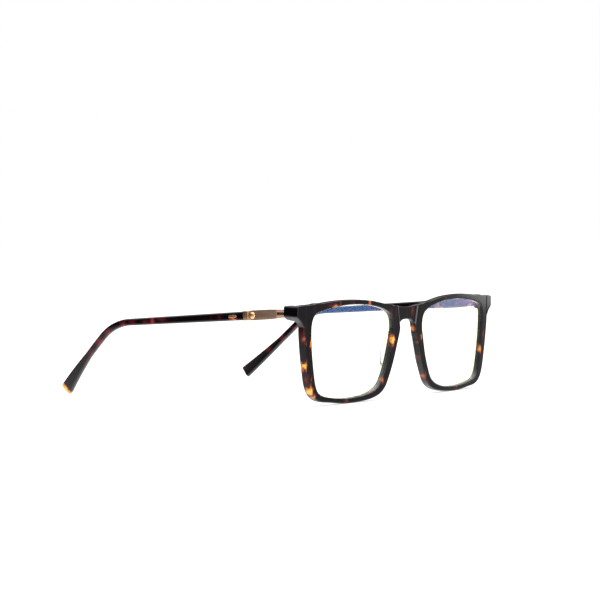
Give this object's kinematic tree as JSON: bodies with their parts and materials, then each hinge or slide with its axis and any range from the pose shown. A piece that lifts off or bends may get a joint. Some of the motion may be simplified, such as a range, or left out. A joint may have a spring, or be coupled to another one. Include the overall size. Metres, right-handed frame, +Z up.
{
  "type": "eyeglasses",
  "caption": "Square full-rim acetate eyeglasses with coated clear lenses, clear nose pads and slim folding temples joined by forked metal bars.",
  "frame": {"origin": "middle of the surface the open glasses stand on, under the centre of their box", "axes": "+X to the wearer's left, -Y the way the wearer looks, +Z up"},
  "size_m": [0.1464, 0.1471, 0.0438],
  "materials": {
    "tortoise": "polished tortoiseshell acetate, near-black with amber and red patches",
    "lens_clear": "clear with a blue anti-reflection coating",
    "pad_clear": "clear polished acetate",
    "bar_metal": "brushed bronze plating",
    "hinge_metal": "polished pale gold plating",
    "core_metal": "drawn nickel silver"
  },
  "bodies": {
    "front": {"front_frame": "tortoise", "lens_left": "lens_clear", "lens_right": "lens_clear", "nose_pad_left": "pad_clear", "nose_pad_right": "pad_clear", "hinge_leaf_left": "hinge_metal", "hinge_leaf_right": "hinge_metal"},
    "temple_left": {"hinge_screw_left": "hinge_metal", "temple_bar_left": "bar_metal", "bar_rivet_left": "hinge_metal", "ferrule_left": "hinge_metal", "temple_core_left": "core_metal", "temple_sleeve_left": "tortoise", "temple_inlay_left": "hinge_metal"},
    "temple_right": {"hinge_screw_right": "hinge_metal", "temple_bar_right": "bar_metal", "bar_rivet_right": "hinge_metal", "ferrule_right": "hinge_metal", "temple_core_right": "core_metal", "temple_sleeve_right": "tortoise", "temple_inlay_right": "hinge_metal"}
  },
  "joints": [
    {"name": "temple_left_fold", "type": "hinge", "parent": "front", "child": "temple_left", "pos_m": [0.0669, -0.06049, 0.03891], "axis": [0, 0, 1], "range_deg": [0, 88]},
    {"name": "temple_right_fold", "type": "hinge", "parent": "front", "child": "temple_right", "pos_m": [-0.0669, -0.06049, 0.03891], "axis": [0, 0, -1], "range_deg": [0, 82]}
  ]
}
